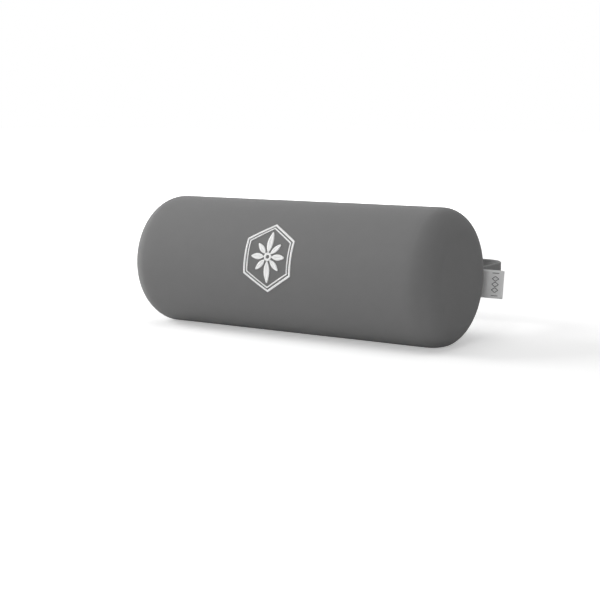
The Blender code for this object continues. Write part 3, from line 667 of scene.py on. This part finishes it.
class Strands:
    """Collects short lengths of thread into one mesh."""

    def __init__(self):
        self.points = []
        self.faces = []

    def add(self, path, radius, out, sides=6):
        """A closed strand along a path, slimmer at its ends; out is the way off the cloth."""
        start = len(self.points)
        last = len(path) - 1
        for number, here in enumerate(path):
            along = (path[min(number + 1, last)] - path[max(number - 1, 0)]).normalized()
            across = along.cross(out).normalized()
            up = across.cross(along)
            size = radius * (THREAD_END if number in (0, last) else 1.0)
            for side in range(sides):
                turn = math.tau * side / sides
                self.points.append(here + (across * math.cos(turn) + up * math.sin(turn)) * size)
        for number in range(last):
            ring = start + number * sides
            for side in range(sides):
                a, b = ring + side, ring + (side + 1) % sides
                self.faces.append([b, a, a + sides, b + sides])
        self.faces.append([start + side for side in range(sides)])
        self.faces.append([start + last * sides + side for side in reversed(range(sides))])

    def finish(self, name, material, body="root"):
        """Makes the strands one piece, which rides on the body if one is named."""
        item = mesh_object(name, self.points, self.faces)
        item.data.materials.append(material)
        if body:
            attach(item, body)
        return item


def stitch_path(start, end, out, rise, steps=4):
    """An arched path from start to end that dips into the cloth at both."""
    path = []
    for step in range(steps + 1):
        share = step / steps
        lift = rise * (1 - (2 * share - 1) ** 4)
        path.append(start.lerp(end, share) + out * (lift - rise / 3))
    return path


def sew(strands, route, place, pitch, radius, rise):
    """Even stitches along a route of flat points; place turns a flat point into one in space."""
    lengths = [0.0]
    for before, here in zip(route, route[1:]):
        lengths.append(lengths[-1] + math.dist(before, here))

    def at(length):
        for number in range(1, len(route)):
            if length <= lengths[number] + ROUND_OFF:
                span = lengths[number] - lengths[number - 1]
                share = (length - lengths[number - 1]) / span
                return Vector(route[number - 1]).lerp(Vector(route[number]), share)
        return Vector(route[-1])

    count = max(1, round(lengths[-1] / pitch))
    for number in range(count):
        start = at((number + STITCH_SHARE[0]) * lengths[-1] / count)
        end = at((number + STITCH_SHARE[1]) * lengths[-1] / count)
        low, high = place(*start), place(*end)
        middle = (start + end) / 2
        out = (place(*middle, PROBE) - place(*middle)).normalized()
        strands.add(stitch_path(low, high, out, rise), radius, out)


def on_cloth(x, across, out=0.0):
    """A point on the cover round the zip."""
    return on_roll(x, ZIP_ANGLE + across / ROLL_RADIUS, ROLL_RADIUS + out)


def make_topstitch():
    """The row of stitches that holds the cover's folded edge to the zip's tapes."""
    strands = Strands()
    reach = SLIT_HALF + TOPSTITCH_INSET
    across = SLIT_WIDTH / 2 + TOPSTITCH_INSET
    corner = SLIT_CORNER + TOPSTITCH_INSET
    route = []
    for sx, sy, turn in ((1, 1, 0), (-1, 1, 1), (-1, -1, 2), (1, -1, 3)):
        for step in range(CORNER_STEPS + 1):
            angle = math.pi / 2 * (turn + step / CORNER_STEPS)
            x = sx * (reach - corner) + corner * math.cos(angle)
            y = sy * (across - corner) + corner * math.sin(angle)
            route.append((x, y))
    route.append(route[0])
    sew(strands, route, on_cloth, TOPSTITCH_PITCH, STITCH_RADIUS, TOPSTITCH_RISE)
    strands.finish("zip_topstitch", SEAM_THREAD)


def loft(name, rings, flats):
    """A closed band through rings of points, each an upper row and then the lower row back."""
    count = len(rings[0])
    faces, places = [], []
    last = len(rings) - 1
    spots = []
    for ring in range(last):
        for k in range(count):
            after = (k + 1) % count
            spots.append([(ring, k), (ring, after), (ring + 1, after), (ring + 1, k)])
    for ring, order in ((0, -1), (last, 1)):
        for k in range(count // 2 - 1):
            quad = [(ring, k), (ring, k + 1), (ring, count - 2 - k), (ring, count - 1 - k)]
            spots.append(quad[::order])
    for corners in spots:
        faces.append([ring * count + k for ring, k in corners])
        places += [flats[ring][k] for ring, k in corners]
    band = mesh_object(name, [point for ring in rings for point in ring], faces, places)
    flip_if_inside_out(band)
    return band


def ramp(value, start, end):
    """0 before the start, 1 after the end, and even between."""
    return min(max((value - start) / (end - start), 0.0), 1.0)


def on_tape(x, across, out=0.0):
    """A point of the zip's flat drawing, bent to the roll; across counts down from its middle."""
    return on_roll(x, ZIP_ANGLE - across / ZIP_RADIUS, ZIP_RADIUS + out)


def tape_inner(x):
    """How far from the zip's middle the tape starts: parted in the slider's mouth, joined past
    both ends of the chain."""
    inner = TAPE_EDGE[0][1]
    for (start, before), (end, after) in zip(TAPE_EDGE, TAPE_EDGE[1:]):
        inner += (after - before) * ramp(x, start, end)
    return inner


def make_tape(name, node, side):
    """One woven tape, with a bead along the edge that the teeth are moulded on."""
    rings, flats = [], []
    stations = spread(-TAPE_HALF, -CHAIN_HALF, TAPE_FINE_STEP)
    stations += spread(-CHAIN_HALF, LAST_TOOTH_END, TAPE_STEP)
    stations += spread(LAST_TOOTH_END, TAPE_HALF, TAPE_FINE_STEP)
    for x in stations + [TAPE_HALF]:
        inner = tape_inner(x)
        row = [(inner + across, half) for across, half in TAPE_BEAD]
        start = row[-1][0]
        for column in range(1, TAPE_COLUMNS + 1):
            row.append((start + (TAPE_WIDTH - start) * column / TAPE_COLUMNS, TAPE_THICKNESS / 2))
        both = row + [(across, -half) for across, half in reversed(row)]
        rings.append([on_tape(x, side * across, half) for across, half in both])
        flats.append([(x, across) for across, _ in both])
    tape = loft(name, rings, flats)
    tape.data.materials.append(ZIP_TAPE)
    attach(tape, "root")
    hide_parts(node)


def tooth_outlines(side):
    """The flat outlines of one row's teeth, and of the stop beyond the slider."""
    first = -CHAIN_HALF + TOOTH_PITCH / 2 + TOOTH_PITCH / 4 * (1 + side)
    outlines = []
    for number in range(round(2 * CHAIN_HALF / TOOTH_PITCH) - 1):
        x = first + number * TOOTH_PITCH
        left = [(x - along, across) for along, across in TOOTH_OUTLINE]
        right = [(x + along, across) for along, across in reversed(TOOTH_OUTLINE)]
        outlines.append(left + right)
    end = SLIDER_X - SLIDER_HALF - FIT_GAP
    start = end - STOP_LENGTH
    low, high = TAPE_PARTED - FIT_GAP, TAPE_PARTED - FIT_GAP + STOP_WIDTH
    return outlines + [[(start, high), (start, low), (end, low), (end, high)]]


def make_teeth(name, node, side):
    """The moulded teeth of one tape, and its stop."""
    points, faces = [], []
    for outline in tooth_outlines(side):
        start, count = len(points), len(outline)
        for out in (TOOTH_HEIGHT / 2, -TOOTH_HEIGHT / 2):
            points += [on_tape(x, side * across, out) for x, across in outline]
        upper = list(range(start, start + count))
        lower = [number + count for number in upper]
        faces += [upper, lower[::-1]]
        for k in range(count):
            after = (k + 1) % count
            faces.append([upper[k], lower[k], lower[after], upper[after]])
    teeth = mesh_object(name, points, faces)
    flip_if_inside_out(teeth)
    round_edges(teeth, TOOTH_ROUNDING, segments=2)
    teeth.data.materials.append(ZIP_PLASTIC)
    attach(teeth, "root")
    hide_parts(node)


def emblem_frame(inset):
    """A hexagon standing on its point, drawn in from the emblem's edge."""
    lean = EMBLEM_HEIGHT / EMBLEM_WIDTH / 2
    half = EMBLEM_WIDTH / 2 - inset
    apex = EMBLEM_HEIGHT / 2 - inset * math.hypot(1, lean)
    shoulder = apex - lean * half
    upper = [(half, shoulder), (0, apex), (-half, shoulder)]
    return upper + [(-x, -up) for x, up in upper]


def on_front(x, up, out=0.0):
    """A point of the emblem's flat drawing, laid on the roll."""
    return on_roll(x, EMBLEM_ANGLE - up / ROLL_RADIUS, ROLL_RADIUS + out)


def satin(strands, start, end):
    """One satin stitch between two flat points of the emblem."""
    low, high = on_front(*start), on_front(*end)
    middle = ((start[0] + end[0]) / 2, (start[1] + end[1]) / 2)
    out = (on_front(*middle, PROBE) - on_front(*middle)).normalized()
    strands.add(stitch_path(low, high, out, SATIN_RISE), SATIN_RADIUS, out)


def make_frame(name, node, inset, line):
    """Satin stitches across the line, from its outer to its inner edge."""
    strands = Strands()
    outer, inner = emblem_frame(inset), emblem_frame(inset + line)
    for number in range(6):
        ends = [outer[number], outer[(number + 1) % 6], inner[number], inner[(number + 1) % 6]]
        corners = [Vector(point) for point in ends]
        count = round((corners[1] - corners[0]).length / SATIN_PITCH)
        for step in range(count):
            share = (step + 0.5) / count
            satin(strands, corners[0].lerp(corners[1], share), corners[2].lerp(corners[3], share))
    item = strands.finish(name, EMBLEM_THREAD)
    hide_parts(node)


def make_rosette():
    """Eight petals in two slanted rows of satin stitches each, round a ring of radial ones."""
    strands = Strands()
    for number in range(8):
        angle = number * math.tau / 8
        length, width = PETALS[number % 4]
        turn = Matrix.Rotation(angle, 2)
        start = ROSETTE_HEART
        count = round((length - start) / SATIN_PITCH)
        slant = PETAL_SLANT * width
        for step in range(count):
            share = (step + 0.5) / count
            half = width / 2 * math.sin(math.pi * share**PETAL_ROOT) ** PETAL_BELLY
            along = start + (length - start) * share
            for side in (1, -1):
                rib = turn @ Vector((along - slant / 3, -side * ROWS_OVERLAP))
                edge = turn @ Vector((along + slant * half / width, side * half))
                if half > PETAL_SHARP:
                    satin(strands, rib, edge)
    count = round(math.tau * (ROSETTE_HEART + ROSETTE_EYE) / 2 / SATIN_PITCH)
    for step in range(count):
        spoke = Vector((math.cos(math.tau * step / count), math.sin(math.tau * step / count)))
        satin(strands, spoke * ROSETTE_EYE, spoke * ROSETTE_HEART * HEART_FILLED)
    item = strands.finish("rosette", EMBLEM_THREAD)
    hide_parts("emblem_rosette")


def ease(value, span):
    """0 before the span, 1 after it, and a smooth step between."""
    share = ramp(value, *span)
    return share * share * (3 - 2 * share)


def behind_roll(x, out, across):
    """A strap's point: curved to the cover at its root, upright once it is clear of the roll."""
    free = max(ease(out, FREE_OUT), ease(abs(x), FREE_ALONG))
    lying = on_roll(x, STRAP_ANGLE + across / ROLL_RADIUS, ROLL_RADIUS)
    upright = Vector((x, STRAP_BACK, STRAP_HEIGHT + across))
    return lying.lerp(upright, free) + Vector((0, out, 0))


def rounded_route(corners, turn_step=math.radians(9)):
    """Points of a path with arcs at its corners; each corner is (x, out, radius)."""
    points = [Vector(corners[0][:2])]
    for before, corner, after in zip(corners, corners[1:], corners[2:]):
        here = Vector(corner[:2])
        into = (here - Vector(before[:2])).normalized()
        away = (Vector(after[:2]) - here).normalized()
        turn = math.atan2(into.x * away.y - into.y * away.x, into.dot(away))
        if corner[2] == 0:
            points.append(here)
            continue
        start = here - into * corner[2] * math.tan(abs(turn) / 2)
        spoke = Vector((into.y, -into.x)) * math.copysign(corner[2], turn)
        steps = max(2, round(abs(turn) / turn_step))
        for step in range(steps + 1):
            points.append(start - spoke + Matrix.Rotation(turn * step / steps, 2) @ spoke)
    return points + [Vector(corners[-1][:2])]


def resampled(points, step):
    """The same path in even steps, as (point, direction, length so far)."""
    lengths = [0.0]
    for before, here in zip(points, points[1:]):
        lengths.append(lengths[-1] + (here - before).length)
    count = round(lengths[-1] / step)
    result, number = [], 1
    for k in range(count + 1):
        length = min(lengths[-1] * k / count, lengths[-1] - ROUND_OFF)
        while lengths[number] < length:
            number += 1
        share = (length - lengths[number - 1]) / (lengths[number] - lengths[number - 1])
        result.append((points[number - 1].lerp(points[number], share), length))
    directions = []
    for k, (here, _) in enumerate(result):
        before, after = result[max(k - 1, 0)][0], result[min(k + 1, count)][0]
        directions.append((after - before).normalized())
    return [(here, along, length) for (here, length), along in zip(result, directions)]


def ribbon_mesh(
    name, route, width, thickness, step, columns, relief, selvedge, place=behind_roll
):
    """A woven band along a route, with ribs of this depth along it and slim edges."""
    places = [width * (k / columns - 0.5) for k in range(columns + 1)]
    rings, flats = [], []
    for here, along, length in resampled(route, step):
        normal = Vector((-along.y, along.x))
        ring = []
        for side, row in ((1, places), (-1, places[::-1])):
            for across in row:
                edge = min((width / 2 - abs(across)) / selvedge, 1.0)
                slim = EDGE_SLIM + (1 - EDGE_SLIM) * math.sqrt(1 - (1 - edge) ** 2)
                within = (across + width / 2) / RIB_WIDTH % 1.0 - 0.5
                valley = relief * (1 - math.cos(math.pi * within))
                spot = here + normal * side * (thickness / 2 - valley) * slim
                ring.append(place(spot.x, spot.y, across))
        rings.append(ring)
        flats.append([(length, across + width / 2) for across in places + places[::-1]])
    return loft(name, rings, flats)


def flip_if_inside_out(item):
    """Turns the faces outward when the points ran the other way round."""
    mesh = item.data
    volume = 0.0
    for polygon in mesh.polygons:
        corners = [mesh.vertices[k].co for k in polygon.vertices]
        for b, c in zip(corners[1:], corners[2:]):
            volume += corners[0].dot(b.cross(c))
    if volume < 0:
        mesh.flip_normals()


def strap_root(lift):
    """The right strap's corners from its sewn root to the run behind the roll; lift is what lies
    under it past the root."""
    low = FIT_GAP + STRAP_THICKNESS / 2
    rise = (TAG_START - STRAP_ROOT_START) / 2
    straight = (LOOP_DEPTH - LOOP_CORNER - lift) / 4
    route = [(STRAP_ROOT_START, low, 0)]
    if lift:
        route.append((STRAP_ROOT_START + rise, low, 0))
        route.append((TAG_START - FIT_GAP, low + lift, 0))
    route.append((LOOP_SIDE, low + lift, ROOT_BEND))
    route += [(LOOP_SIDE, low + lift + ROOT_BEND + number * straight, 0) for number in (1, 2)]
    return route + [(LOOP_SIDE, LOOP_DEPTH, LOOP_CORNER)]


def left_corners():
    """The left strap's route: round the socket's bar and back over itself."""
    corners = [(-x, out, radius) for x, out, radius in strap_root(0)]
    inner = SOCKET_BAR + BAR_WRAP
    outer = SOCKET_BAR - BAR_WRAP
    over = LOOP_DEPTH + 2 * BAR_WRAP
    layer = LOOP_DEPTH + LAYER_STEP
    return corners + [
        (inner, LOOP_DEPTH, BAR_BEND),
        (inner, over, BAR_BEND),
        (outer, over, STRAP_THICKNESS),
        (outer - 2 * BAR_WRAP, layer, STRAP_THICKNESS),
        (outer - 2 * BAR_WRAP - SEWN_TURN_BACK, layer, 0),
    ]


def right_corners():
    """The right strap's route: over the middle bar and back, to a tail with a double hem."""
    corners = strap_root(2 * TAG_LAYER + 2 * FIT_GAP)
    inner = MIDDLE_BAR - BAR_WRAP
    between = MIDDLE_BAR + BAR_WRAP
    over = LOOP_DEPTH + 2 * BAR_WRAP
    layer = LOOP_DEPTH + LAYER_STEP
    tail = between + STRAP_TAIL
    squeeze = BETWEEN_BEND * (over - layer)
    return corners + [
        (inner, LOOP_DEPTH, BAR_BEND),
        (inner, over, BAR_BEND),
        (between, over, squeeze),
        (between, layer, squeeze),
        (tail, layer, FOLD_BEND * LAYER_STEP),
        (tail, layer + LAYER_STEP, FOLD_BEND * LAYER_STEP),
        (tail - HEM_LENGTH, layer + LAYER_STEP, 0),
    ]


def make_strap(name, node, corners):
    """One strap's webbing along its route."""
    relief = (STRAP_COLUMNS, RIB_DEPTH, SELVEDGE)
    route = rounded_route(corners)
    strap = ribbon_mesh(name, route, STRAP_WIDTH, STRAP_THICKNESS, RIB_WIDTH, *relief)
    strap.data.materials.append(WEBBING)
    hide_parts(node)
    return strap


def sew_strap(strands, route, place):
    """A row of the strap's stitches."""
    sew(strands, route, place, STITCH_PITCH, STITCH_RADIUS, STITCH_RADIUS)


def box_stitch(strands, low, high, place):
    """A box seam with a cross in it, between two places along the strap."""
    half = STRAP_WIDTH / 2 - SEAM_MARGIN
    corners = [(low, -half), (high, -half), (high, half), (low, half)]
    for start, end in ((0, 1), (1, 2), (2, 3), (3, 0), (0, 2), (1, 3)):
        sew_strap(strands, [corners[start], corners[end]], place)


def root_face(lift):
    """Gives the points on the outer face of a strap's sewn root."""
    rise = (TAG_START - STRAP_ROOT_START) / 2

    def place(x, across, out=0.0):
        lifted = lift * ramp(abs(x), STRAP_ROOT_START + rise, TAG_START - FIT_GAP)
        return behind_roll(x, FIT_GAP + STRAP_THICKNESS + lifted + out, across)

    return place


def strap_face(height, way=1):
    """Gives the points on a face of the strap's run behind the roll."""

    def place(x, across, out=0.0):
        return behind_roll(x, height + way * out, across)

    return place


def make_strap_stitches():
    """Box seams at both roots and where the socket's webbing turns back."""
    strands = Strands()
    low = STRAP_ROOT_START + SEAM_MARGIN
    box_stitch(strands, low, low + BOX_SEAM, root_face(2 * TAG_LAYER + 2 * FIT_GAP))
    box_stitch(strands, -low, -low - BOX_SEAM, root_face(0))
    end = SOCKET_BAR - 3 * BAR_WRAP - SEWN_TURN_BACK
    for place in (
        strap_face(LOOP_DEPTH + LAYER_STEP + STRAP_THICKNESS / 2),
        strap_face(LOOP_DEPTH - STRAP_THICKNESS / 2, -1),
    ):
        box_stitch(strands, end + SEAM_MARGIN, end + SEWN_TURN_BACK - SEAM_MARGIN, place)
    strands.finish("strap_seams", STRAP_THREAD)


def make_straps():
    """Both halves of the strap: the left one rides on the root; the right one and its hem seam are
    baked in place on no body.
    """
    left = make_strap("strap_left_webbing", "strap_left", left_corners())
    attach(left, "root")
    right = make_strap("strap_right_webbing", "strap_right", right_corners())
    strands = Strands()
    tail = MIDDLE_BAR + BAR_WRAP + STRAP_TAIL
    half = STRAP_WIDTH / 2 - SEAM_MARGIN
    for x in (tail - HEM_LENGTH + SEAM_MARGIN, tail - HEM_LENGTH + SEAM_MARGIN + HEM_SEAM):
        for place in (
            strap_face(LOOP_DEPTH + 2 * LAYER_STEP + STRAP_THICKNESS / 2),
            strap_face(LOOP_DEPTH + LAYER_STEP - STRAP_THICKNESS / 2, -1),
        ):
            sew_strap(strands, [(x, -half), (x, half)], place)
    hem = strands.finish("strap_hem_seam", STRAP_THREAD, body=None)
    for piece in (right, hem):
        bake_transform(piece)


def tag_point(x, out, across):
    """A point of the tag, whose free end leans out a little at its top."""
    return behind_roll(x + TAG_LEAN * across * ease(x, FREE_ALONG), out, across)


def make_tag():
    """A satin ribbon folded at its outer end, both ends caught under the strap."""
    low = FIT_GAP + TAG_LAYER / 2
    high = low + TAG_LAYER + FIT_GAP
    fold = FOLD_BEND * (high - low)
    bends = [FREE_ALONG[0], (FREE_ALONG[0] + FREE_ALONG[1]) / 2, FREE_ALONG[1]]
    corners = [(TAG_START, low, 0)] + [(x, low, 0) for x in bends]
    corners += [(TAG_END, low, fold), (TAG_END, high, fold)]
    corners += [(x, high, 0) for x in reversed(bends)] + [(TAG_START, high, 0)]
    route = rounded_route(corners, turn_step=math.radians(30))
    relief = (TAG_COLUMNS, 0.0, TAG_SELVEDGE)
    tag = ribbon_mesh("tag", route, TAG_WIDTH, TAG_LAYER, TAG_STEP, *relief, tag_point)
    tag.data.materials.append(RIBBON)
    length = sum((b - a).length for a, b in zip(route, route[1:]))
    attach(tag, "root")
    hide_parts("side_tag")


def make_mark():
    """A row of small lozenges between two bars, sewn down the front of the tag."""
    strands = Strands()
    wide, high = MARK_SIZE
    lozenge = [(wide, 0), (0, high), (-wide, 0), (0, -high), (wide, 0)]
    bar = [(-wide, 0), (wide, 0)]

    def place(x, across, out=0.0):
        return tag_point(x, FIT_GAP - out, across)

    for number, shape in ((-1, lozenge), (0, lozenge), (1, lozenge), (-2, bar), (2, bar)):
        route = [(MARK_PLACE + x, number * MARK_PITCH + y) for x, y in shape]
        sew(strands, route, place, MARK_STITCH, MARK_THREAD_RADIUS, MARK_THREAD_RADIUS)
    strands.finish("tag_mark", MARK_THREAD)


def dress_cad_nodes():
    """Softens the edges of the moulded parts and gives them their plastic."""
    finishes = {
        "zip_slider": (ZIP_PLASTIC, ZIP_ROUNDING),
        "zip_pull": (ZIP_PLASTIC, ZIP_ROUNDING),
        "zip_end_stop": (ZIP_PLASTIC, ZIP_ROUNDING),
        "buckle_socket": (BUCKLE_PLASTIC, BUCKLE_ROUNDING),
        "buckle_tongue": (BUCKLE_PLASTIC, BUCKLE_ROUNDING),
    }
    for name, (material, rounding) in finishes.items():
        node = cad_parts[name]
        node.data.materials.clear()
        node.data.materials.append(material)
        weld = node.modifiers.new("joined_corners", "WELD")
        weld.merge_threshold = SAME_PLACE
        round_edges(node, rounding, angle=PLASTIC_SHARP_ANGLE).harden_normals = True


def add_lamp(name, place, aim, size, watts):
    """A soft round lamp."""
    light = bpy.data.lights.new(name, "AREA")
    light.shape = "DISK"
    light.size = size
    light.energy = watts
    lamp = bpy.data.objects.new(name, light)
    lamp.location = place
    lamp.rotation_euler = (Vector(aim) - Vector(place)).to_track_quat("-Z", "Y").to_euler()
    bpy.context.scene.collection.objects.link(lamp)


def make_light():
    """The lamps and a white sky, dimmer for the light that it throws on the roll."""
    for name, (place, size, watts) in LAMPS.items():
        add_lamp(name, place, (0, 0, AXIS_HEIGHT), size, watts)
    world = bpy.data.worlds.new("studio")
    bpy.context.scene.world = world
    world.use_nodes = True
    tree = world.node_tree
    background = tree.nodes["Background"]
    path = tree.nodes.new("ShaderNodeLightPath")
    strength = tree.nodes.new("ShaderNodeMapRange")
    source = path.outputs["Is Camera Ray"]
    for other in ("Is Glossy Ray", "Is Transmission Ray"):
        either = tree.nodes.new("ShaderNodeMath")
        either.operation = "MAXIMUM"
        tree.links.new(source, either.inputs[0])
        tree.links.new(path.outputs[other], either.inputs[1])
        source = either.outputs[0]
    tree.links.new(source, strength.inputs["Value"])
    strength.inputs["To Min"].default_value = SKY_LIGHT
    strength.inputs["To Max"].default_value = 1.0
    tree.links.new(strength.outputs["Result"], background.inputs["Strength"])
    background.inputs["Color"].default_value = (1, 1, 1, 1)


def make_floor():
    """A pale floor that looks white and keeps the shadow."""
    half = FLOOR_HALF
    corners = [(-half, -half), (half, -half), (half, half), (-half, half)]
    floor = mesh_object("floor", [(x, y, -FIT_GAP) for x, y in corners], [[0, 1, 2, 3]])
    paint = Finish("floor", (FLOOR_COLOUR,) * 3, roughness=0.9)
    paint.shader.inputs["Specular IOR Level"].default_value = 0.0
    paint.shader.inputs["Emission Color"].default_value = (1, 1, 1, 1)
    length = paint.add("ShaderNodeVectorMath", {"operation": "LENGTH"}, _0=paint.place("Object"))
    fade = {"From_Min": FLOOR_FADE[0], "From_Max": FLOOR_FADE[1]}
    smooth = {"interpolation_type": "SMOOTHSTEP"}
    glow = paint.mapped(length.outputs["Value"], *FLOOR_GLOW, smooth, **fade)
    path = paint.add("ShaderNodeLightPath")
    paint.send(paint.calc("MULTIPLY", glow, path.outputs["Is Camera Ray"]), "Emission Strength")
    floor.data.materials.append(paint.material)


def make_camera():
    """The camera at the photo's place."""
    data = bpy.data.cameras.new("camera")
    data.lens = CAMERA_LENS
    data.clip_end = CAMERA_REACH
    camera = bpy.data.objects.new("camera", data)
    camera.location = CAMERA_PLACE
    level = math.cos(CAMERA_DROP)
    side, away = -math.sin(CAMERA_TURN), math.cos(CAMERA_TURN)
    ahead = Vector((side * level, away * level, -math.sin(CAMERA_DROP)))
    camera.rotation_euler = ahead.to_track_quat("-Z", "Y").to_euler()
    bpy.context.scene.collection.objects.link(camera)
    bpy.context.scene.camera = camera


make_camera()
make_floor()
make_light()
make_cover()
make_foam()
make_topstitch()
for which, way in (("upper", -1), ("lower", 1)):
    make_tape(f"zip_tape_{which}", f"zip_half_{which}", way)
    make_teeth(f"zip_teeth_{which}", f"zip_half_{which}", way)
make_frame("frame_outer", "emblem_frame_outer", 0.0, FRAME_LINE)
make_frame("frame_inner", "emblem_frame_inner", FRAME_LINE + FRAME_SPACING, INNER_FRAME_LINE)
make_rosette()
make_straps()
make_strap_stitches()
make_tag()
make_mark()
dress_cad_nodes()
bpy.context.scene.view_settings.view_transform = "Standard"
